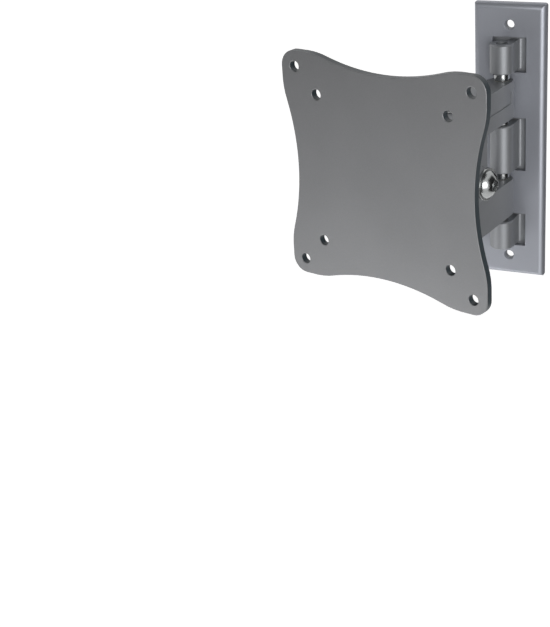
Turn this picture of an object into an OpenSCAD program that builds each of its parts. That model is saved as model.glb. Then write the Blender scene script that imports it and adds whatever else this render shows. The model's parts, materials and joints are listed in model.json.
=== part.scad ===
// Small articulating wall mount for a monitor, drawn in the pose it is shown in.
// Millimetres. Origin: middle of the back face that lies on the wall.
// +X right, +Y into the wall, +Z up.

/* [Wall plate] */
// width of the wall plate cover
plate_w = 38.4; // [34:0.1:46]
// height of the wall plate cover
plate_h = 150; // [140:1:170]
// depth of the cover from the wall to its front
plate_d = 4.2; // [4:0.1:5]
// radius of the rounded front rim
rim_r = 3.4; // [2:0.1:3.6]
// radius of the corners of the cover
corner_cut = 1.4; // [0.8:0.1:3]
// wall thickness of the cover
cover_t = 1.8; // [1.4:0.1:2.2]
// gap between the edge of the base and the cover
cover_gap = 0.15; // [0.1:0.05:0.3]
// distance from the wall screw holes to the ends of the cover
hole_in = 11.25; // [8:0.05:14]
// radius of the wall screw holes
wall_hole_r = 2.2; // [2:0.1:2.6]
// how much wider the dished holes in the cover are, on the radius
dish_w = 0.5; // [0.3:0.1:1]

/* [Wall hinge] */
// sideways place of the hinge axis
hinge_x = -1.9; // [-4:0.1:0]
// distance of the hinge axis from the wall
hinge_y = 11; // [10.6:0.1:13]
// radius of the hinge knuckles
knuckle_r = 6.2; // [6:0.1:6.5]
// half height of the middle wall knuckle
mid_half = 13; // [11:0.1:14]
// height of the outer wall knuckles
outer_h = 15.5; // [12:0.1:17]
// top of the outer wall knuckle above the middle
outer_top = 56; // [55:0.1:58]
// thickness of the web behind a wall knuckle
web_t = 4.2; // [3.4:0.1:5]
// radius of the fillet at the foot of a web
web_fillet = 1.6; // [0.8:0.1:2.2]
// thickness of the base in the bottom of a window
floor_t = 1; // [0.8:0.1:1.6]
// width of the windows in the cover
win_w = 17.8; // [16.6:0.1:19]
// room above and below a wall knuckle in its window
win_gap = 1.5; // [1:0.1:2.5]
// chamfer at the ends of the hinge knuckles
knuckle_c = 0.6; // [0.4:0.1:1]
// radius of the hinge pin
pin_r = 3; // [2.5:0.1:3.5]
// how far the hinge pin lies inside the knuckle ends
pin_in = 1.2; // [0.4:0.1:3]
// chamfer at the ends of the hinge pin
pin_c = 0.5; // [0.3:0.1:0.8]
// outer radius of the spacer rings and bushes
ring_r = 4; // [3.8:0.1:4.4]
// running clearance on a pin
run_gap = 0.06; // [0.04:0.01:0.09]
// end gap at a spacer ring
end_gap = 0.1; // [0.05:0.05:0.3]

/* [Arm] */
// distance between the hinge axis and the swivel axis
arm_len = 45.2; // [45:0.1:60]
// angle of the arm from straight out
arm_yaw = -16.26; // [-20:0.01:20]
// room for the spacer rings next to the middle knuckle
ring_in = 3.8; // [3:0.1:5]
// room for the spacer rings next to the outer knuckles
ring_out = 3.9; // [3:0.1:6]
// wall between the notch and the swivel barrel
notch_t = 3.1; // [2:0.1:6]
// distance from the finger ends to the swivel axis
finger_end = 7.2; // [6.8:0.1:10]
// gap between the fingers and the yoke ears
finger_gap = 0.5; // [0.3:0.1:1]
// radius of the swivel barrel
barrel_r = 12.6; // [11:0.1:12.8]
// half height of the swivel barrel
barrel_half = 25.4; // [24:0.1:26]
// depth of the panel in the side of the upper finger
panel_d = 0.4; // [0.3:0.1:0.8]
// height of the panel
panel_h = 6.4; // [4:0.1:8]
// length of the panel
panel_len = 25.5; // [15:0.5:28]
// how far the panel lies above the middle of the finger
panel_rise = 1.5; // [0:0.1:3]
// distance of the panel in front of the hinge axis
panel_start = 1.5; // [1:0.1:6]

/* [Swivel head] */
// angle of the head from straight out
head_yaw = -14.66; // [-20:0.01:20]
// radius of the swivel bolt shank
bolt_r = 4; // [3.5:0.1:4.5]
// radius of the swivel bushes
bush_r = 5.2; // [5:0.1:6]
// length of a swivel bush inside the barrel
bush_l = 14; // [10:0.5:18]
// thickness of a bush collar
collar_t = 1; // [0.8:0.1:1.4]
// height of a yoke ear
ear_h = 6.6; // [5:0.1:8]
// radius of a yoke ear
ear_r = 10.4; // [10:0.1:10.6]
// half width of a yoke ear where it meets the yoke wall
ear_neck = 9.6; // [9:0.1:9.8]
// gap between the swivel barrel and the yoke wall
yoke_gap = 0.6; // [0.5:0.1:1.5]
// thickness of the yoke wall
yoke_t = 5.4; // [4:0.1:6]
// half width of the yoke wall
yoke_half = 12; // [10:0.1:14]
// height of the rib on the tilt barrel
rib_h = 8; // [6:0.1:10]
// distance from the rib to the ends of the tilt barrel
rib_in = 2; // [1:0.1:4]
// distance of the tilt axis in front of the swivel axis
tilt_y = 20.4; // [20.3:0.1:24]
// height of the tilt axis above the middle
tilt_z = 6; // [2:0.1:8]
// radius of the tilt barrel
tilt_r = 7.1; // [6.8:0.1:7.2]
// half width of the tilt barrel
tilt_half = 28; // [24:0.1:30]

/* [Tilt bracket and screen plate] */
// distance of the screen plate face in front of the swivel axis
face_y = 60; // [56:0.1:80]
// height of the middle of the screen plate
face_z = 14; // [8:0.1:16]
// thickness of the screen plate
face_t = 4; // [3:0.1:5]
// side of the outer square of holes
outer_pitch = 100; // [100:1:200]
// side of the inner square of holes
inner_pitch = 75; // [50:1:80]
// distance from the outer holes to the edge at the corners
margin = 7.8; // [7:0.1:10]
// how far the waist is drawn in
waist_in = 6.7; // [4:0.1:7]
// half length of the hollow arc at the waist
waist_s = 33; // [30:0.5:36]
// radius of the hollow arc at the waist
waist_rad = 112; // [100:1:130]
// radius of the round arcs next to the corners
lobe_rad = 38; // [34:0.5:44]
// radius of the screen plate corners
corner_r = 8; // [6.5:0.1:10]
// radius of the screen plate holes
face_hole_r = 2.65; // [2.2:0.05:3]
// thickness of the tilt bracket
bracket_t = 3; // [2.5:0.1:3.5]
// thickness of the friction washers
friction_t = 1.2; // [1:0.1:1.5]
// half height of the bracket base
bracket_half = 16; // [14:0.1:20]
// radius of the hole in the middle of the bracket base
centre_hole_r = 6.8; // [4:0.1:7.2]
// radius of the bracket ears round the bolt
bracket_r = 8; // [7.5:0.1:9]
// depth of the bracket ears at the top of the base
gusset = 12; // [8:0.1:16]
// thickness of the flat washers
washer_t = 1.6; // [1.2:0.1:2]
// radius of the flat washers
washer_r = 8; // [7.5:0.1:9]
// thickness of the spring washer
spring_t = 2; // [1.6:0.1:2.4]
// radius of the spring washer
spring_r = 7.1; // [6.5:0.1:7.5]
// width of the split in the spring washer
split_w = 0.8; // [0.5:0.1:1.2]
// height of the nuts
nut_h = 6.5; // [6:0.1:8]
// width of the nuts across their flats
nut_w = 13; // [12:0.1:14]
// how far the corners of the nuts are turned down
nut_c = 0.35; // [0.2:0.05:0.6]
// how far the bolts stand out of their nuts
bolt_tail = 2; // [1:0.1:4]
// radius of the bolt heads
head_r = 7; // [6.5:0.1:7.5]
// height of the bolt heads
head_h = 4.4; // [4:0.1:5]
// width of the six sided sockets
socket_w = 5; // [4:0.1:6]
// depth of the six sided sockets
socket_d = 3; // [2:0.1:3.5]

/* [Hidden] */
$fn = 96;
eps = 0.01;
base_t = plate_d - cover_t;
base_w = plate_w - 2 * (cover_t + cover_gap);
base_h = plate_h - 2 * (cover_t + cover_gap);
wall_pitch = plate_h - 2 * hole_in;
outer_lo = outer_top - outer_h;
// lower and upper end of an arm finger, above the middle
finger_lo = mid_half + ring_in;
finger_hi = outer_lo - ring_out;
win_mid = outer_top - outer_h / 2;
nut_r = nut_w / 2 / cos(30);
// half angle between the two flanks of the arm
flank = asin((barrel_r - knuckle_r) / arm_len);
// widths across the tilt axis, from the barrel end outwards
ear_in = tilt_half + friction_t;
ear_out = ear_in + bracket_t;
head_x = ear_out + washer_t;
nut_x = head_x + spring_t;
yoke_top = barrel_half + collar_t + ear_h;
wall_y = barrel_r + yoke_gap;
finger_len = arm_len - finger_end;
notch_d = arm_len - barrel_r - notch_t;
face_half = outer_pitch / 2 + margin;
waist_half = face_half - waist_in;
hinge_pos = [hinge_x, -hinge_y, 0];

// Helpers
function half_w(y) = (knuckle_r - y * sin(flank)) / cos(flank);
function swivel_xy() = [hinge_x + arm_len * sin(arm_yaw), -hinge_y - arm_len * cos(arm_yaw)];

module rod(r, h, c = knuckle_c) {
    translate([0, 0, -h / 2]) cylinder(r1 = r - c, r2 = r, h = c);
    translate([0, 0, c - h / 2]) cylinder(r = r, h = h - 2 * c);
    translate([0, 0, h / 2 - c]) cylinder(r1 = r, r2 = r - c, h = c);
}

module ring(ro, ri, h) {
    difference() {
        cylinder(r = ro, h = h);
        translate([0, 0, -1]) cylinder(r = ri, h = h + 2);
    }
}

module block(x0, x1, y0, y1, z0, z1) {
    translate([x0, y0, z0]) cube([x1 - x0, y1 - y0, z1 - z0]);
}

module in_arm() {
    translate(hinge_pos) rotate([0, 0, arm_yaw]) children();
}

module in_head() {
    translate([swivel_xy()[0], swivel_xy()[1], 0]) rotate([0, 0, head_yaw]) children();
}

module on_tilt() {
    in_head() translate([0, -tilt_y, tilt_z]) rotate([0, 90, 0]) children();
}

// Wall plate: a cast base with three knuckles, under a rounded cover with three windows
module knuckle(z, h) {
    web_x = hinge_x + knuckle_r;
    translate([hinge_x, -hinge_y, z]) rod(knuckle_r, h);
    block(web_x - web_t, web_x, -hinge_y, -floor_t / 2, z - h / 2, z + h / 2);
    difference() {
        block(web_x - eps, web_x + web_fillet, -floor_t - web_fillet, -floor_t / 2, z - h / 2, z + h / 2);
        translate([web_x + web_fillet, -floor_t - web_fillet, z - h / 2 - 1])
            cylinder(r = web_fillet, h = h + 2);
    }
}

// room round a knuckle, sunk into the base under its window
module window_floor(z, h) {
    block(-win_w / 2, win_w / 2, -base_t - 1, -floor_t, z - h / 2 - win_gap, z + h / 2 + win_gap);
}

module wall_base() {
    color([0.46, 0.46, 0.49]) difference() {
        union() {
            difference() {
                block(-base_w / 2, base_w / 2, -base_t, 0, -base_h / 2, base_h / 2);
                window_floor(0, 2 * mid_half);
                for (s = [-1, 1]) window_floor(s * win_mid, outer_h);
            }
            knuckle(0, 2 * mid_half);
            for (s = [-1, 1]) knuckle(s * win_mid, outer_h);
        }
        translate([hinge_x, -hinge_y, -outer_top - 1]) cylinder(r = pin_r, h = 2 * outer_top + 2);
        for (s = [-1, 1]) translate([0, 1, s * wall_pitch / 2]) rotate([90, 0, 0])
            cylinder(r = wall_hole_r, h = base_t + 2);
    }
}

// front profile of the cover, wide on X, rounded towards -Y
module rim_profile(w) {
    translate([-w / 2 + rim_r, -plate_d]) square([w - 2 * rim_r, plate_d]);
    translate([-w / 2, -plate_d + rim_r]) square([w, plate_d - rim_r]);
    for (s = [-1, 1]) translate([s * (w / 2 - rim_r), -plate_d + rim_r]) circle(r = rim_r);
}

module cover_solid() {
    iw = plate_w / 2 - corner_cut;
    ih = plate_h / 2 - corner_cut;
    intersection() {
        translate([0, 0, -plate_h / 2]) linear_extrude(plate_h) rim_profile(plate_w);
        rotate([0, -90, 0]) translate([0, 0, -plate_w / 2]) linear_extrude(plate_w) rim_profile(plate_h);
        union() {
            block(-iw, iw, -plate_d, rim_r, -plate_h / 2, plate_h / 2);
            block(-plate_w / 2, plate_w / 2, -plate_d, rim_r, -ih, ih);
            for (s = [-1, 1]) for (t = [-1, 1]) translate([s * iw, rim_r, t * ih]) rotate([90, 0, 0])
                cylinder(r = corner_cut, h = plate_d + rim_r);
        }
    }
}

module wall_cover() {
    cw = plate_w / 2 - cover_t;
    ch = plate_h / 2 - cover_t;
    color([0.48, 0.48, 0.52]) difference() {
        cover_solid();
        block(-cw, cw, -base_t, rim_r + 1, -ch, ch);
        block(-plate_w, plate_w, 0, rim_r + 1, -plate_h, plate_h);
        block(-win_w / 2, win_w / 2, -plate_d - 1, 1, -mid_half - win_gap, mid_half + win_gap);
        for (s = [-1, 1]) {
            block(-win_w / 2, win_w / 2, -plate_d - 1, 1,
                s * win_mid - outer_h / 2 - win_gap, s * win_mid + outer_h / 2 + win_gap);
            translate([0, -base_t + eps, s * wall_pitch / 2]) rotate([90, 0, 0])
                cylinder(r1 = wall_hole_r + dish_w / 3, r2 = wall_hole_r + dish_w, h = cover_t + 2 * eps);
        }
    }
}

// Wall hinge: one pin, four spacer rings, two bushes in the fingers
module hinge_pin() {
    color([0.8, 0.8, 0.82]) translate(hinge_pos) rod(pin_r, 2 * (outer_top - pin_in), pin_c);
}

module spacer(z0, z1) {
    color([0.78, 0.78, 0.8]) translate([hinge_x, -hinge_y, z0 + end_gap])
        ring(ring_r, pin_r + run_gap, z1 - z0 - 2 * end_gap);
}
module spacer_ring_1() spacer(finger_hi, outer_lo);
module spacer_ring_2() spacer(mid_half, finger_lo);
module spacer_ring_3() spacer(-finger_lo, -mid_half);
module spacer_ring_4() spacer(-outer_lo, -finger_hi);

module finger_bush(z0) {
    color([0.86, 0.85, 0.8]) translate([hinge_x, -hinge_y, z0])
        ring(ring_r, pin_r + run_gap, finger_hi - finger_lo);
}
module finger_bush_upper() finger_bush(finger_lo);
module finger_bush_lower() finger_bush(-finger_hi);

// Arm: two fingers round the middle wall knuckle, running into the swivel barrel
module flank_prism(y0, y1, z0, z1) {
    translate([0, 0, z0]) linear_extrude(z1 - z0)
        polygon([[-half_w(y0), y0], [half_w(y0), y0], [half_w(y1), y1], [-half_w(y1), y1]]);
}

module arm() {
    fh = finger_hi - finger_lo;
    panel_z = (finger_lo + finger_hi) / 2 + panel_rise;
    color([0.46, 0.46, 0.48]) in_arm() difference() {
        union() {
            for (s = [-1, 1]) {
                translate([0, 0, s * (finger_lo + finger_hi) / 2]) rod(knuckle_r, fh);
                flank_prism(knuckle_r * sin(flank), -finger_len,
                    s > 0 ? finger_lo : -finger_hi, s > 0 ? finger_hi : -finger_lo);
            }
            flank_prism(-notch_d, barrel_r * sin(flank) - arm_len, -barrel_half, barrel_half);
            translate([0, -arm_len, -barrel_half]) cylinder(r = barrel_r, h = 2 * barrel_half);
        }
        translate([0, 0, -finger_hi - 1]) cylinder(r = ring_r, h = 2 * finger_hi + 2);
        translate([0, -arm_len, -barrel_half - 1]) cylinder(r = bush_r, h = 2 * barrel_half + 2);
        // finger ends hollowed to follow the yoke ears
        for (s = [-1, 1]) translate([0, -arm_len, s > 0 ? barrel_half : -finger_hi - 1])
            cylinder(r = ear_r + finger_gap, h = finger_hi + 1 - barrel_half);
        // bare panel sunk into the right side of the upper finger
        rotate([0, 0, flank]) block(knuckle_r - panel_d, knuckle_r + 1,
            -panel_start - panel_len, -panel_start, panel_z - panel_h / 2, panel_z + panel_h / 2);
    }
}

// Swivel between the arm and the yoke
module swivel_bush() {
    difference() {
        union() {
            cylinder(r = bush_r, h = bush_l + eps);
            translate([0, 0, bush_l]) cylinder(r = ear_r - 0.8, h = collar_t - end_gap);
        }
        translate([0, 0, -1]) cylinder(r = bolt_r + run_gap, h = bush_l + collar_t + 2);
    }
}
module swivel_bush_upper() {
    color([0.86, 0.85, 0.8]) in_head() translate([0, 0, barrel_half - bush_l]) swivel_bush();
}
module swivel_bush_lower() {
    color([0.86, 0.85, 0.8]) in_head() mirror([0, 0, 1]) translate([0, 0, barrel_half - bush_l])
        swivel_bush();
}

module button_head(r, h) {
    // domed head with a six sided socket
    difference() {
        intersection() {
            cylinder(r = r, h = h);
            translate([0, 0, h - (r * r + h * h) / (2 * h)]) sphere(r = (r * r + h * h) / (2 * h));
        }
        translate([0, 0, h - socket_d]) cylinder(r = socket_w / 2 / cos(30), h = socket_d + 1, $fn = 6);
    }
}

module swivel_bolt() {
    color([0.78, 0.78, 0.8]) in_head() {
        translate([0, 0, -yoke_top - washer_t - nut_h - bolt_tail])
            cylinder(r = bolt_r, h = 2 * yoke_top + washer_t + nut_h + bolt_tail);
        translate([0, 0, yoke_top]) button_head(head_r, head_h);
    }
}
module swivel_washer() {
    color([0.78, 0.78, 0.8]) in_head() translate([0, 0, -yoke_top - washer_t])
        ring(washer_r, bolt_r + 0.2, washer_t);
}
module nut(h) {
    difference() {
        intersection() {
            cylinder(r = nut_r, h = h, $fn = 6);
            cylinder(r1 = nut_r + 3 * nut_c, r2 = nut_r - nut_c, h = h);
        }
        translate([0, 0, -1]) cylinder(r = bolt_r, h = h + 2);
    }
}
module swivel_nut() {
    color([0.76, 0.76, 0.78]) in_head() translate([0, 0, -yoke_top - washer_t])
        mirror([0, 0, 1]) nut(nut_h);
}

module yoke() {
    color([0.45, 0.45, 0.47]) in_head() difference() {
        union() {
            for (s = [-1, 1]) {
                z0 = s > 0 ? yoke_top - ear_h : -yoke_top;
                translate([0, 0, z0]) cylinder(r = ear_r, h = ear_h);
                block(-ear_neck, ear_neck, -wall_y - eps, 0, z0, z0 + ear_h);
            }
            block(-yoke_half, yoke_half, -wall_y - yoke_t, -wall_y, -yoke_top, yoke_top);
            translate([-tilt_half, -tilt_y, tilt_z]) rotate([0, 90, 0])
                cylinder(r = tilt_r, h = 2 * tilt_half);
            translate([0, 0, tilt_z - rib_h / 2]) linear_extrude(rib_h)
                polygon([[-yoke_half, -wall_y], [yoke_half, -wall_y],
                    [tilt_half - rib_in, -tilt_y], [rib_in - tilt_half, -tilt_y]]);
        }
        translate([0, 0, -yoke_top - 1]) cylinder(r = bolt_r, h = 2 * yoke_top + 2);
        translate([-tilt_half - 1, -tilt_y, tilt_z]) rotate([0, 90, 0])
            cylinder(r = bolt_r + run_gap, h = 2 * tilt_half + 2);
    }
}

// Tilt bracket: a channel on the back of the screen plate, its ears round the yoke
module friction_washer_right() {
    color([0.12, 0.12, 0.13]) on_tilt() translate([0, 0, tilt_half + end_gap])
        ring(washer_r, bolt_r + 0.1, friction_t - end_gap);
}
module friction_washer_left() {
    color([0.12, 0.12, 0.13]) on_tilt() translate([0, 0, -ear_in])
        ring(washer_r, bolt_r + 0.1, friction_t - end_gap);
}

module tilt_bracket() {
    back = -face_y + face_t;
    color([0.44, 0.44, 0.46]) in_head() difference() {
        union() {
            block(-ear_out, ear_out, back, back + bracket_t, face_z - bracket_half, face_z + bracket_half);
            for (s = [-1, 1]) {
                x0 = s > 0 ? ear_in : -ear_out;
                translate([x0, -tilt_y, tilt_z]) rotate([0, 90, 0]) cylinder(r = bracket_r, h = bracket_t);
                translate([x0, 0, 0]) rotate([90, 0, 90]) linear_extrude(bracket_t)
                    polygon([[back, face_z - bracket_half], [-tilt_y, tilt_z - bracket_r],
                        [-tilt_y, tilt_z + bracket_r], [back + gusset, face_z + bracket_half],
                        [back, face_z + bracket_half]]);
            }
        }
        translate([-ear_out - 1, -tilt_y, tilt_z]) rotate([0, 90, 0])
            cylinder(r = bolt_r, h = 2 * ear_out + 2);
        translate([0, back - 1, face_z]) rotate([-90, 0, 0]) cylinder(r = centre_hole_r, h = bracket_t + 2);
    }
}
module tilt_bolt() {
    color([0.82, 0.82, 0.84]) on_tilt() {
        translate([0, 0, -nut_x - nut_h - bolt_tail])
            cylinder(r = bolt_r, h = nut_x + nut_h + bolt_tail + head_x);
        translate([0, 0, head_x]) button_head(head_r, head_h);
    }
}
module tilt_washer_right() {
    color([0.8, 0.8, 0.82]) on_tilt() translate([0, 0, ear_out]) ring(washer_r, bolt_r + 0.2, washer_t);
}
module tilt_washer_left() {
    color([0.8, 0.8, 0.82]) on_tilt() translate([0, 0, -head_x]) ring(washer_r, bolt_r + 0.2, washer_t);
}
module tilt_spring_washer() {
    color([0.7, 0.7, 0.72]) on_tilt() translate([0, 0, -nut_x]) difference() {
        ring(spring_r, bolt_r + 0.2, spring_t);
        rotate([20, 0, 0])
            block(-split_w / 2, split_w / 2, bolt_r / 2, spring_r + 2, -spring_t, 3 * spring_t);
    }
}
module tilt_nut() {
    color([0.76, 0.76, 0.78]) on_tilt() mirror([0, 0, 1]) translate([0, 0, nut_x]) nut(nut_h);
}

// Screen plate: waisted outline, holes on 100 mm and 75 mm squares
function waist_a(s) = asin(s / waist_rad);
function side_h(s) = let (a = abs(s), t = a - waist_s, k = waist_a(waist_s), e = lobe_rad * sin(k))
    a <= waist_s ? waist_half + waist_rad * (1 - cos(waist_a(a)))
    : min(face_half, waist_half + waist_rad * (1 - cos(k))
        + lobe_rad * (cos(asin(max(0, e - t) / lobe_rad)) - cos(k)));
side_n = 28;
corner_n = 8;
reach = face_half - corner_r;
function side_pts() = [for (i = [0:side_n]) let (s = -reach + 2 * reach * i / side_n) [s, side_h(s)]];
function corner_pts() = [for (i = [1:corner_n - 1]) let (a = 90 - 90 * i / corner_n)
    [reach + corner_r * cos(a), reach + (side_h(reach) - reach) * sin(a)]];
function turn(p, q) = [p[0] * cos(q) + p[1] * sin(q), -p[0] * sin(q) + p[1] * cos(q)];
function outline() = [for (q = [0:90:270]) for (p = concat(side_pts(), corner_pts())) turn(p, q)];

module screen_plate() {
    color([0.47, 0.48, 0.49]) in_head() translate([0, -face_y + face_t, face_z]) rotate([90, 0, 0])
        difference() {
            linear_extrude(face_t) polygon(outline());
            for (h = [outer_pitch / 2, inner_pitch / 2]) for (s = [-1, 1]) for (t = [-1, 1])
                translate([s * h, t * h, -1]) cylinder(r = face_hole_r, h = face_t + 2);
        }
}

wall_base();
wall_cover();
hinge_pin();
spacer_ring_1();
spacer_ring_2();
spacer_ring_3();
spacer_ring_4();
arm();
finger_bush_upper();
finger_bush_lower();
swivel_bush_upper();
swivel_bush_lower();
swivel_bolt();
swivel_washer();
swivel_nut();
yoke();
friction_washer_right();
friction_washer_left();
tilt_bracket();
tilt_bolt();
tilt_washer_right();
tilt_washer_left();
tilt_spring_washer();
tilt_nut();
screen_plate();
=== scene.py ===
"""Articulating wall mount for a monitor: finishes, softened edges, threads, camera and light."""

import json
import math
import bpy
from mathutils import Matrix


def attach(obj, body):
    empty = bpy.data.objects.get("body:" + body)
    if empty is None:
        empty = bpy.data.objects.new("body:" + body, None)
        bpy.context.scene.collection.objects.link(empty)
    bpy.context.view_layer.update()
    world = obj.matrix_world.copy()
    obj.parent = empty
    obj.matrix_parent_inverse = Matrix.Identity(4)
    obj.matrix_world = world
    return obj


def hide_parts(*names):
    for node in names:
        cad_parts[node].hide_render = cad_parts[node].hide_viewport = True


bl_info = {
    "name": "Monitor Wall Mount",
    "version": (1, 0, 0),
    "blender": (4, 5, 0),
    "location": "View3D > Sidebar > Wall Mount",
    "description": "Finishes the pieces of a small articulating monitor mount",
    "category": "Object",
}

import bmesh
import bpy
from bpy.props import FloatProperty, FloatVectorProperty, PointerProperty
from mathutils import Matrix, Vector

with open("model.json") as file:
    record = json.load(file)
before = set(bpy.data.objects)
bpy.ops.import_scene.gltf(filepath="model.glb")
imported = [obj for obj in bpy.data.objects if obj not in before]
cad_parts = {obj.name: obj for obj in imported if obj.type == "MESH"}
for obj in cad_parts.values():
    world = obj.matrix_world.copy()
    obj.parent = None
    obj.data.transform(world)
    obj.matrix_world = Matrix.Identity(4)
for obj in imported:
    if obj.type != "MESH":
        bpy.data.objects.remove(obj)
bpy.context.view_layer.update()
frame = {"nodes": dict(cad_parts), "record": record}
JOINTS = {j["name"]: j for j in frame["record"]["behaviour"]["joints"]}
MOUNTS = {m["name"]: m for m in frame["record"]["mounts"]}
MM = 0.001

# Coats: cells of the grain in a metre, roughness added to the coat's, depth of the grain, share of metal flakes
COATS = {
    "plate_paint": (1500.0, 0.02, 0.09 * MM, 0.7),
    "cover_paint": (1800.0, 0.06, 0.09 * MM, 0.68),
    "cast_paint": (1800.0, 0.08, 0.09 * MM, 0.55),
    "sheet_paint": (3000.0, 0.02, 0.05 * MM, 0.5),
}
SHEET_SHADE = 0.95

# Edges of the small pieces
TURNED_EDGE = 0.3 * MM
WASHER_EDGE = 0.2 * MM
BOLT_SHARP = 35.0
PLATE_SHARP = 40.0

# Threads: radius of the wound bead and depth of the root in pitches, and the crest's play in its nut
THREAD_BEAD = 0.42
THREAD_DEPTH = 0.6
THREAD_PLAY = 0.05 * MM

# Soft boxes round the mount: azimuth, elevation, distance and size
SOFT_BOXES = {
    "key": (36.0, 4.0, 0.95, (0.5, 0.6)),
    "bounce": (-48.0, -48.0, 0.7, (0.5, 0.4)),
}

# Dark flags round the mount: azimuth, elevation, distance, size and shade
FLAGS = {
    "flag_right": (98.0, -3.0, 0.95, (1.3, 1.7), 0.03),
    "flag_left": (-66.0, 12.0, 0.8, (1.0, 0.7), 0.05),
    "flag_low": (-12.0, -27.0, 0.8, (0.66, 0.66), 0.08),
    "flag_back": (162.0, -8.0, 0.6, (0.42, 0.7), 0.04),
    "flag_top": (0.0, 74.0, 0.8, (0.9, 0.8), 0.06),
}

# Stage
MIDDLE = Vector((-0.01, -0.05, 0))
CAMERA_RIGHT = Vector((0.904943, 0.420292, -0.066577))
CAMERA_UP = Vector((-0.121657, 0.405457, 0.905982))
FLOOR_SIZE = 16.0
FLOOR_LEVEL = -0.9
FLOOR_GLOW = 0.75


# Node helpers for the materials
def new_material(name):
    mat = bpy.data.materials.new(name)
    mat.use_nodes = True
    return mat, mat.node_tree, mat.node_tree.nodes["Principled BSDF"]


def add(tree, kind, **values):
    node = tree.nodes.new(kind)
    for key, value in values.items():
        if key.startswith("in_"):
            node.inputs[key[3:].replace("_", " ")].default_value = value
        else:
            setattr(node, key, value)
    return node


def coordinates(tree):
    return add(tree, "ShaderNodeTexCoord").outputs["Object"]


def noise(tree, vector, scale, detail=3.0, rough=0.5):
    node = add(tree, "ShaderNodeTexNoise", in_Scale=scale, in_Detail=detail, in_Roughness=rough)
    tree.links.new(vector, node.inputs["Vector"])
    return node.outputs["Fac"]


def remap(tree, value, lo, hi, out_lo, out_hi):
    node = add(tree, "ShaderNodeMapRange")
    for key, number in (("From Min", lo), ("From Max", hi), ("To Min", out_lo), ("To Max", out_hi)):
        node.inputs[key].default_value = number
    tree.links.new(value, node.inputs["Value"])
    return node.outputs["Result"]


def shades(tree, value, first, second):
    """Mixes two colours by a value. Each colour is a tuple or the socket that gives it."""
    node = add(tree, "ShaderNodeMix", data_type="RGBA")
    tree.links.new(value, node.inputs["Factor"])
    ends = [socket for socket in node.inputs if socket.type == "RGBA"]
    for end, colour in zip(ends, (first, second)):
        if isinstance(colour, tuple):
            end.default_value = (*colour, 1)
        else:
            tree.links.new(colour, end)
    return next(socket for socket in node.outputs if socket.type == "RGBA")


def bump(tree, shader, height, strength, distance):
    node = add(tree, "ShaderNodeBump", in_Strength=strength, in_Distance=distance)
    tree.links.new(height, node.inputs["Height"])
    tree.links.new(node.outputs["Normal"], shader.inputs["Normal"])


def scaled(colour, factor):
    return tuple(min(1.0, c * factor) for c in colour)


# Materials
def coat_material(name, colour, grain, rough, depth, metal):
    """Silver grey coat: fine sanded grain, small bright flakes, faint broad clouding.
    Returns the material, its tree, its shader and the socket of its colour."""
    mat, tree, shader = new_material(name)
    where = coordinates(tree)
    clouds = noise(tree, where, 22.0, 2.0)
    grit = noise(tree, where, grain, 2.0, 0.6)
    flakes = noise(tree, where, grain * 1.7, 1.0, 0.5)
    mixed = add(tree, "ShaderNodeMath", operation="MULTIPLY_ADD")
    mixed.inputs[1].default_value = 0.3
    tree.links.new(remap(tree, flakes, 0.4, 0.75, 0.0, 1.0), mixed.inputs[0])
    tree.links.new(remap(tree, clouds, 0.35, 0.65, 0.3, 0.6), mixed.inputs[2])
    tone = shades(tree, mixed.outputs[0], scaled(colour, 0.92), scaled(colour, 1.12))
    tree.links.new(tone, shader.inputs["Base Color"])
    tree.links.new(remap(tree, grit, 0.3, 0.7, rough - 0.04, rough + 0.06), shader.inputs["Roughness"])
    shader.inputs["Metallic"].default_value = metal
    bump(tree, shader, grit, 0.3, depth)
    return mat, tree, shader, tone


def paint_edge_shade(coated, colour, bevel, thick):
    """Paints shade on the screen plate's coat: the cut edges and hole walls get a dark colour and lose their
    metal.
    """
    mat, tree, shader, tone = coated
    face = MOUNTS["screen_face"]
    normal = Vector(face["axis"])
    front = Vector(face["pos_m"]).dot(normal)
    back = front - thick
    # Painted shade: a band through the plate's thickness, between the front and back bevels, takes the dark
    # colour
    along = add(tree, "ShaderNodeVectorMath", operation="DOT_PRODUCT")
    along.inputs[1].default_value = normal
    tree.links.new(coordinates(tree), along.inputs[0])
    behind = remap(tree, along.outputs["Value"], front - bevel * 1.15, front - bevel * 0.85, 1.0, 0.0)
    ahead = remap(tree, along.outputs["Value"], back + bevel * 0.6, back + bevel, 0.0, 1.0)
    edge = add(tree, "ShaderNodeMath", operation="MULTIPLY")
    tree.links.new(behind, edge.inputs[0])
    tree.links.new(ahead, edge.inputs[1])
    tree.links.new(shades(tree, edge.outputs[0], tone, colour), shader.inputs["Base Color"])
    metal = shader.inputs["Metallic"].default_value
    tree.links.new(remap(tree, edge.outputs[0], 0.0, 1.0, metal, 0.0), shader.inputs["Metallic"])
    return mat


def bright_material(name, colour, rough, scratch):
    """Plated or ground metal: polished, with fine turning marks and light handling marks."""
    mat, tree, shader = new_material(name)
    where = coordinates(tree)
    marks = noise(tree, where, scratch, 4.0, 0.7)
    stains = noise(tree, where, 160.0, 2.0)
    tone = shades(tree, remap(tree, stains, 0.35, 0.7, 0.0, 1.0), scaled(colour, 0.86), colour)
    tree.links.new(tone, shader.inputs["Base Color"])
    tree.links.new(remap(tree, marks, 0.3, 0.75, rough - 0.04, rough + 0.08), shader.inputs["Roughness"])
    shader.inputs["Metallic"].default_value = 1.0
    bump(tree, shader, marks, 0.06, 0.00003)
    return mat


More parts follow.
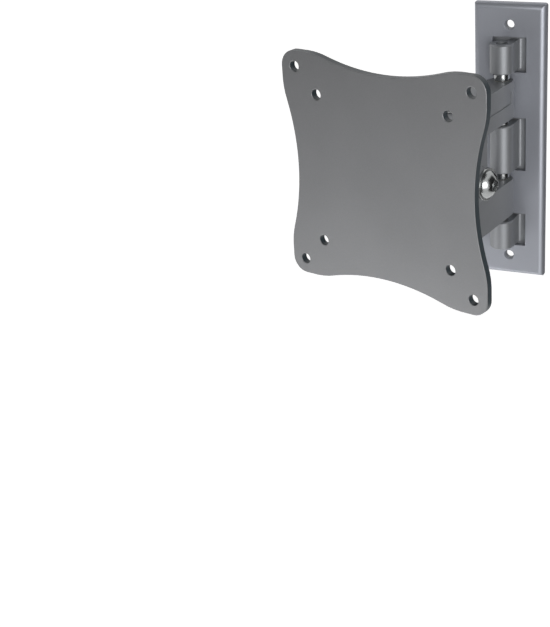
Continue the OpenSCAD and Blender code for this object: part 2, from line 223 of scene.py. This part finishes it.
def moulded_material(name, colour, rough):
    """Moulded nylon: a faint matt grain."""
    mat, tree, shader = new_material(name)
    where = coordinates(tree)
    grain = noise(tree, where, 1800.0, 2.0)
    tone = shades(tree, noise(tree, where, 90.0), scaled(colour, 0.88), scaled(colour, 1.08))
    tree.links.new(tone, shader.inputs["Base Color"])
    tree.links.new(remap(tree, grain, 0.3, 0.7, rough - 0.06, rough + 0.08), shader.inputs["Roughness"])
    bump(tree, shader, grain, 0.2, 0.00003)
    return mat


def material(key):
    """The finish for a material slot, made once from the values in the panel."""
    name = "mount_" + key
    found = bpy.data.materials.get(name)
    if found:
        return found
    s = bpy.context.scene.wall_mount
    if key in COATS:
        colour = tuple({"plate_paint": s.plate_colour, "cover_paint": s.cover_colour}.get(key, s.cast_colour))
        if key == "sheet_paint":
            colour = scaled(colour, SHEET_SHADE)
        grain, rougher, depth, metal = COATS[key]
        coated = coat_material(name, colour, grain, s.coat_roughness + rougher, depth, metal)
        # The screen plate's coat gets painted shade on its cut edges and hole walls
        if key == "plate_paint":
            return paint_edge_shade(coated, tuple(s.edge_shade_colour), s.plate_edge, s.plate_thickness)
        return coated[0]
    if key == "zinc":
        return bright_material(name, tuple(s.zinc_colour), 0.2, 1600.0)
    if key == "bright_steel":
        return bright_material(name, scaled(tuple(s.zinc_colour), 1.1), 0.18, 2200.0)
    if key == "black_nylon":
        return moulded_material(name, (0.02, 0.02, 0.022), 0.5)
    if key == "nylon":
        return moulded_material(name, (0.62, 0.6, 0.54), 0.45)
    raise RuntimeError("no finish for slot " + key)


# Mesh helpers
NODE_SLOT = {s["node"]: s["material_slot"] for s in frame["record"]["subparts"]}
NODE_BODY = {n: b for b, nodes in frame["record"]["behaviour"]["bodies"].items() for n in nodes}


def as_object(name, mesh, mat):
    obj = bpy.data.objects.new(name, mesh)
    bpy.context.scene.collection.objects.link(obj)
    mesh.materials.clear()
    mesh.materials.append(mat)
    return obj


def soften(node, radius, steps=3, angle=28.0, shape=None):
    """A copy of a solid with its edges broken by a small radius, standing for the solid."""
    mesh = frame["nodes"][node].data.copy()
    mesh.name = node + "_soft"
    bm = bmesh.new()
    bm.from_mesh(mesh)
    bmesh.ops.remove_doubles(bm, verts=bm.verts, dist=0.004 * MM)
    bmesh.ops.dissolve_limit(bm, angle_limit=math.radians(0.6), verts=bm.verts, edges=bm.edges)
    if shape:
        shape(bm)
    bm.to_mesh(mesh)
    bm.free()
    obj = as_object(node + "_finish", mesh, material(NODE_SLOT[node]))
    edge = obj.modifiers.new("edge", "BEVEL")
    edge.width = radius
    edge.segments = steps
    edge.limit_method = "ANGLE"
    edge.angle_limit = math.radians(angle)
    edge.use_clamp_overlap = True
    bake(obj)
    even_shading(obj)
    return ride(obj, NODE_BODY[node], NODE_SLOT[node], node)


def even_shading(obj, sharp=40.0):
    """Smooth shading that leaves the flat faces flat."""
    for face in obj.data.polygons:
        face.use_smooth = True
    obj.data.set_sharp_from_angle(angle=math.radians(sharp))
    even = obj.modifiers.new("even", "WEIGHTED_NORMAL")
    even.keep_sharp = True
    even.weight = 60
    bake(obj)


def ride(obj, body, slot, *nodes):
    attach(obj, body)
    if nodes:
        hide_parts(*nodes)
    return obj


def bake(obj):
    """Applies an object's modifiers to its mesh."""
    graph = bpy.context.evaluated_depsgraph_get()
    graph.update()
    made = bpy.data.meshes.new_from_object(obj.evaluated_get(graph), depsgraph=graph)
    obj.modifiers.clear()
    old = obj.data
    obj.data = made
    bpy.data.meshes.remove(old)


def bolt_end(bolt, nut, joint):
    """Where a bolt leaves its nut: a point on the bolt's axis in the nut's face, the way out, the length."""
    out = Vector(JOINTS[joint]["axis"]).normalized()
    start = Vector(JOINTS[joint]["pos_m"])
    if sum((v.co - start).dot(out) for v in frame["nodes"][nut].data.vertices) < 0:
        out = -out
    face, end = (max((v.co - start).dot(out) for v in frame["nodes"][node].data.vertices) for node in (nut, bolt))
    return start + out * face, out, end - face


def thin_end(point, out, crest, root):
    """Cuts a bolt at its nut's outer face and thins the end to the root of its thread."""
    def shape(bm):
        step = 0.01 * MM
        for height in (0.0, step):
            bmesh.ops.bisect_plane(bm, geom=bm.verts[:] + bm.edges[:] + bm.faces[:], dist=0.1 * step,
                plane_co=point + out * height, plane_no=out)
        for vert in bm.verts:
            height = (vert.co - point).dot(out)
            if height > 0.5 * step:
                middle = point + out * height
                vert.co = middle + (vert.co - middle) * (root / crest)
    return shape


def thread_group():
    """Nodes that wind a round thread up the Z axis. Returns the tree and its inputs' identifiers by name."""
    tree = bpy.data.node_groups.new("bolt_thread", "GeometryNodeTree")
    sockets = {}
    for title in ("Crest radius", "Length", "Pitch"):
        made = tree.interface.new_socket(title, in_out="INPUT", socket_type="NodeSocketFloat")
        sockets[title] = made.identifier
    tree.interface.new_socket("Thread", in_out="OUTPUT", socket_type="NodeSocketGeometry")
    sizes = add(tree, "NodeGroupInput")
    result = add(tree, "NodeGroupOutput")
    turns = add(tree, "ShaderNodeMath", operation="DIVIDE")
    bead = add(tree, "ShaderNodeMath", operation="MULTIPLY")
    centre = add(tree, "ShaderNodeMath", operation="SUBTRACT")
    bead.inputs[1].default_value = THREAD_BEAD
    helix = add(tree, "GeometryNodeCurveSpiral")
    helix.inputs["Resolution"].default_value = 48
    helix.inputs["Reverse"].default_value = True
    circle = add(tree, "GeometryNodeCurvePrimitiveCircle")
    circle.inputs["Resolution"].default_value = 10
    sweep = add(tree, "GeometryNodeCurveToMesh")
    sweep.inputs["Fill Caps"].default_value = True
    real = add(tree, "GeometryNodeRealizeInstances")
    finish = add(tree, "GeometryNodeSetMaterial")
    finish.inputs["Material"].default_value = material("zinc")
    links = (
        (sizes.outputs["Length"], turns.inputs[0]),
        (sizes.outputs["Pitch"], turns.inputs[1]),
        (sizes.outputs["Pitch"], bead.inputs[0]),
        (sizes.outputs["Crest radius"], centre.inputs[0]),
        (bead.outputs[0], centre.inputs[1]),
        (turns.outputs[0], helix.inputs["Rotations"]),
        (centre.outputs[0], helix.inputs["Start Radius"]),
        (centre.outputs[0], helix.inputs["End Radius"]),
        (sizes.outputs["Length"], helix.inputs["Height"]),
        (bead.outputs[0], circle.inputs["Radius"]),
        (helix.outputs["Curve"], sweep.inputs["Curve"]),
        (circle.outputs["Curve"], sweep.inputs["Profile Curve"]),
        (sweep.outputs["Mesh"], real.inputs[0]),
        (real.outputs[0], finish.inputs["Geometry"]),
        (finish.outputs[0], result.inputs[0]),
    )
    for source, target in links:
        tree.links.new(source, target)
    return tree, sockets


def thread(bolt, nut, joint):
    """Winds the thread on the end of a bolt that stands out of its nut, and thins the bolt under it."""
    s = bpy.context.scene.wall_mount
    point, out, length = bolt_end(bolt, nut, joint)
    root = s.bolt_radius - THREAD_DEPTH * s.thread_pitch
    soften(bolt, TURNED_EDGE, 2, BOLT_SHARP, thin_end(point, out, s.bolt_radius, root))
    tree, sockets = thread_group()
    obj = as_object(bolt + "_thread", bpy.data.meshes.new(bolt + "_thread"), material(NODE_SLOT[bolt]))
    winding = obj.modifiers.new("thread", "NODES")
    winding.node_group = tree
    hidden = 1.2 * s.thread_pitch
    winding[sockets["Crest radius"]] = s.bolt_radius - THREAD_PLAY
    winding[sockets["Length"]] = hidden + length - 0.5 * s.thread_pitch
    winding[sockets["Pitch"]] = s.thread_pitch
    bake(obj)
    turn = out.to_track_quat("Z", "Y").to_matrix().to_4x4()
    obj.data.transform(Matrix.Translation(point - out * hidden) @ turn)
    for face in obj.data.polygons:
        face.use_smooth = True
    return ride(obj, NODE_BODY[bolt], NODE_SLOT[bolt])


def coat(*nodes):
    """Gives solids whose shape is kept as it is their finish."""
    for node in nodes:
        obj = frame["nodes"][node]
        obj.data.materials.clear()
        obj.data.materials.append(material(NODE_SLOT[node]))


# Values a user would change
def colour_setting(name, description, default):
    return FloatVectorProperty(name=name, description=description, default=default,
        subtype="COLOR", size=3, min=0, max=1)


def length_setting(name, description, default, low, high):
    return FloatProperty(name=name, description=description, default=default, min=low, max=high, unit="LENGTH")


def power_setting(name, description, default):
    return FloatProperty(name=name, description=description, default=default, min=0, max=100, unit="POWER")


class WallMountSettings(bpy.types.PropertyGroup):
    plate_colour: colour_setting("Screen plate", "Coat of the screen plate", (0.24, 0.243, 0.25))
    cover_colour: colour_setting("Wall cover", "Coat of the wall cover", (0.37, 0.384, 0.424))
    cast_colour: colour_setting("Castings", "Coat of the arm, yoke and wall knuckles", (0.285, 0.294, 0.309))
    zinc_colour: colour_setting("Bolts", "Plating of the bolts, nuts and washers", (0.38, 0.39, 0.39))
    # Painted shade: the dark colour painted on the cut edges and hole walls of the screen plate
    edge_shade_colour: colour_setting("Cut edges", "Cut edges and hole walls of the screen plate", (0.03, 0.042, 0.05))
    coat_roughness: FloatProperty(name="Coat roughness", description="Roughness of the silver grey coat",
        default=0.4, min=0.1, max=0.8)
    plate_edge: length_setting("Plate edge", "Radius on the edges of the screen plate", 0.0004, 0.0001, 0.0015)
    plate_thickness: length_setting("Plate thickness", "Thickness of the screen plate", 0.004, 0.002, 0.006)
    cast_edge: length_setting("Casting edge", "Radius on the edges of the arm and yoke", 0.0006, 0.0001, 0.002)
    base_edge: length_setting("Wall base edge", "Radius on the edges of the wall base", 0.0009, 0.0001, 0.002)
    cover_edge: length_setting("Cover edge", "Radius on the edges of the wall cover", 0.0009, 0.0001, 0.002)
    sheet_edge: length_setting("Sheet edge", "Radius on the edges of the tilt bracket", 0.0005, 0.0001, 0.001)
    bolt_radius: length_setting("Bolt radius", "Radius over the thread of the bolts", 0.004, 0.002, 0.005)
    thread_pitch: length_setting("Thread pitch", "Distance between two thread crests", 0.00125, 0.0005, 0.002)
    camera_place: FloatVectorProperty(name="Camera", description="Place of the camera", subtype="TRANSLATION",
        size=3, default=(0.209085, -0.71117, 0.245069))
    lens: FloatProperty(name="Lens", description="Focal length on a 36 mm frame", default=82.39, min=20, max=200)
    sky: FloatProperty(name="Sky", description="Strength of the even light from all round", default=0.36,
        min=0, max=2)
    key_power: power_setting("Key light", "Power of the soft box at the right", 4.9)
    bounce_power: power_setting("Bounce light", "Power of the soft box at the lower left", 1.6)


class MOUNT_OT_wall_plate(bpy.types.Operator):
    """Finishes the wall base and its cover"""
    bl_idname = "mount.wall_plate"
    bl_label = "Wall plate"

    def execute(self, context):
        soften("wall_base", context.scene.wall_mount.base_edge)
        soften("wall_cover", context.scene.wall_mount.cover_edge, 4)
        return {"FINISHED"}


class MOUNT_OT_hinge(bpy.types.Operator):
    """Finishes the hinge pin, its spacer rings and bushes"""
    bl_idname = "mount.hinge"
    bl_label = "Wall hinge"

    def execute(self, context):
        for node in ("spacer_ring_1", "spacer_ring_2", "spacer_ring_3", "spacer_ring_4", "hinge_pin"):
            soften(node, TURNED_EDGE, 2)
        coat("finger_bush_upper", "finger_bush_lower")
        return {"FINISHED"}


class MOUNT_OT_arm(bpy.types.Operator):
    """Finishes the arm"""
    bl_idname = "mount.arm"
    bl_label = "Arm"

    def execute(self, context):
        soften("arm", context.scene.wall_mount.cast_edge)
        return {"FINISHED"}


class MOUNT_OT_swivel(bpy.types.Operator):
    """Finishes the swivel bolt, washer, nut and bushes"""
    bl_idname = "mount.swivel"
    bl_label = "Swivel"

    def execute(self, context):
        coat("swivel_bush_upper", "swivel_bush_lower")
        thread("swivel_bolt", "swivel_nut", "head_swivel")
        for node in ("swivel_washer", "swivel_nut"):
            soften(node, WASHER_EDGE, 2)
        return {"FINISHED"}


class MOUNT_OT_yoke(bpy.types.Operator):
    """Finishes the yoke"""
    bl_idname = "mount.yoke"
    bl_label = "Yoke"

    def execute(self, context):
        soften("yoke", context.scene.wall_mount.cast_edge)
        return {"FINISHED"}


class MOUNT_OT_bracket(bpy.types.Operator):
    """Finishes the tilt bracket and its bolt, washers and nut"""
    bl_idname = "mount.bracket"
    bl_label = "Tilt bracket"

    def execute(self, context):
        soften("tilt_bracket", context.scene.wall_mount.sheet_edge)
        thread("tilt_bolt", "tilt_nut", "tilt")
        for node in ("tilt_washer_right", "tilt_washer_left", "tilt_spring_washer", "tilt_nut",
                "friction_washer_right", "friction_washer_left"):
            soften(node, WASHER_EDGE, 2)
        return {"FINISHED"}


class MOUNT_OT_screen_plate(bpy.types.Operator):
    """Finishes the waisted screen plate"""
    bl_idname = "mount.screen_plate"
    bl_label = "Screen plate"

    def execute(self, context):
        soften("screen_plate", context.scene.wall_mount.plate_edge, 3, PLATE_SHARP)
        return {"FINISHED"}


def direction(azimuth, elevation):
    """Unit vector from the wall plate, azimuth turned to the right from straight out of the wall."""
    az, el = math.radians(azimuth), math.radians(elevation)
    return Vector((math.sin(az) * math.cos(el), -math.cos(az) * math.cos(el), math.sin(el)))


def facing(place, target):
    return (Vector(target) - Vector(place)).to_track_quat("-Z", "Y")


def soft_box(name, azimuth, elevation, distance, size, power):
    """A rectangular studio light that looks at the middle of the mount."""
    lamp = bpy.data.lights.new(name, "AREA")
    lamp.shape = "RECTANGLE"
    lamp.size, lamp.size_y = size
    lamp.energy = power
    obj = bpy.data.objects.new(name, lamp)
    obj.location = MIDDLE + direction(azimuth, elevation) * distance
    obj.rotation_euler = facing(obj.location, MIDDLE).to_euler()
    bpy.context.scene.collection.objects.link(obj)
    return obj


def panel_mesh(name, size):
    """A flat rectangle across the middle, facing -Z as the lights do."""
    bm = bmesh.new()
    for x, y in ((-1, 1), (1, 1), (1, -1), (-1, -1)):
        bm.verts.new((x * size[0] / 2, y * size[1] / 2, 0))
    bm.faces.new(bm.verts)
    mesh = bpy.data.meshes.new(name)
    bm.to_mesh(mesh)
    bm.free()
    return mesh


def dark_flag(name, azimuth, elevation, distance, size, shade):
    """A dark studio flag outside the picture, which gives the metal its dark reflections."""
    mat, tree, shader = new_material(name)
    shader.inputs["Base Color"].default_value = (shade, shade, shade, 1)
    shader.inputs["Roughness"].default_value = 0.9
    flag = as_object(name, panel_mesh(name, size), mat)
    flag.location = MIDDLE + direction(azimuth, elevation) * distance
    flag.rotation_euler = facing(flag.location, MIDDLE).to_euler()
    flag.visible_camera = False
    return flag


def seen_rays(tree):
    """1 for rays of the camera, of reflections and of glass, and 0 for the rest."""
    rays = add(tree, "ShaderNodeLightPath")
    seen = add(tree, "ShaderNodeMath", operation="MAXIMUM")
    either = add(tree, "ShaderNodeMath", operation="MAXIMUM")
    tree.links.new(rays.outputs["Is Camera Ray"], seen.inputs[0])
    tree.links.new(rays.outputs["Is Glossy Ray"], seen.inputs[1])
    tree.links.new(seen.outputs[0], either.inputs[0])
    tree.links.new(rays.outputs["Is Transmission Ray"], either.inputs[1])
    return either.outputs[0]


class MOUNT_OT_stage(bpy.types.Operator):
    """Sets up the white floor, the soft light and the camera"""
    bl_idname = "mount.stage"
    bl_label = "Stage"

    def execute(self, context):
        scene = context.scene
        s = scene.wall_mount
        scene.view_settings.view_transform = "Standard"
        camera = bpy.data.cameras.new("camera")
        camera.lens = s.lens
        camera.sensor_width = 36.0
        camera.clip_start = 0.01
        view = bpy.data.objects.new("camera", camera)
        back = CAMERA_RIGHT.cross(CAMERA_UP)
        turn = Matrix((CAMERA_RIGHT, CAMERA_UP, back)).transposed().to_4x4()
        view.matrix_world = Matrix.Translation(Vector(s.camera_place)) @ turn
        scene.collection.objects.link(view)
        scene.camera = view

        mat, tree, shader = new_material("floor_white")
        shader.inputs["Base Color"].default_value = (0.86, 0.86, 0.86, 1)
        shader.inputs["Roughness"].default_value = 0.9
        shader.inputs["Emission Color"].default_value = (1, 1, 1, 1)
        glow = remap(tree, seen_rays(tree), 0.0, 1.0, 0.0, FLOOR_GLOW)
        tree.links.new(glow, shader.inputs["Emission Strength"])
        floor = as_object("floor", panel_mesh("floor", (FLOOR_SIZE, FLOOR_SIZE)), mat)
        floor.rotation_euler = (math.pi, 0, 0)
        floor.location = (0, 0, FLOOR_LEVEL)

        world = bpy.data.worlds.new("studio")
        world.use_nodes = True
        scene.world = world
        tree = world.node_tree
        ground = tree.nodes["Background"]
        ground.inputs["Color"].default_value = (1, 1, 1, 1)
        tree.links.new(remap(tree, seen_rays(tree), 0.0, 1.0, s.sky, 1.0), ground.inputs["Strength"])
        soft_box("key", *SOFT_BOXES["key"], s.key_power)
        soft_box("bounce", *SOFT_BOXES["bounce"], s.bounce_power)
        for name, flag in FLAGS.items():
            dark_flag(name, *flag)
        return {"FINISHED"}


class MOUNT_PT_panel(bpy.types.Panel):
    """Lists the values and the steps of the wall mount"""
    bl_label = "Wall Mount"
    bl_idname = "MOUNT_PT_panel"
    bl_space_type = "VIEW_3D"
    bl_region_type = "UI"
    bl_category = "Wall Mount"

    def draw(self, context):
        s = context.scene.wall_mount
        for key in s.bl_rna.properties.keys():
            if key not in ("rna_type", "name"):
                self.layout.prop(s, key)
        for step in STEPS:
            self.layout.operator(step.bl_idname)


STEPS = (MOUNT_OT_wall_plate, MOUNT_OT_hinge, MOUNT_OT_arm, MOUNT_OT_swivel, MOUNT_OT_yoke, MOUNT_OT_bracket,
    MOUNT_OT_screen_plate, MOUNT_OT_stage)
CLASSES = (WallMountSettings,) + STEPS + (MOUNT_PT_panel,)


def register():
    for cls in CLASSES:
        bpy.utils.register_class(cls)
    bpy.types.Scene.wall_mount = PointerProperty(type=WallMountSettings)


def unregister():
    del bpy.types.Scene.wall_mount
    for cls in reversed(CLASSES):
        bpy.utils.unregister_class(cls)


def main():
    register()
    for step in STEPS:
        group, name = step.bl_idname.split(".")
        getattr(getattr(bpy.ops, group), name)()


if __name__ == "__main__":
    main()
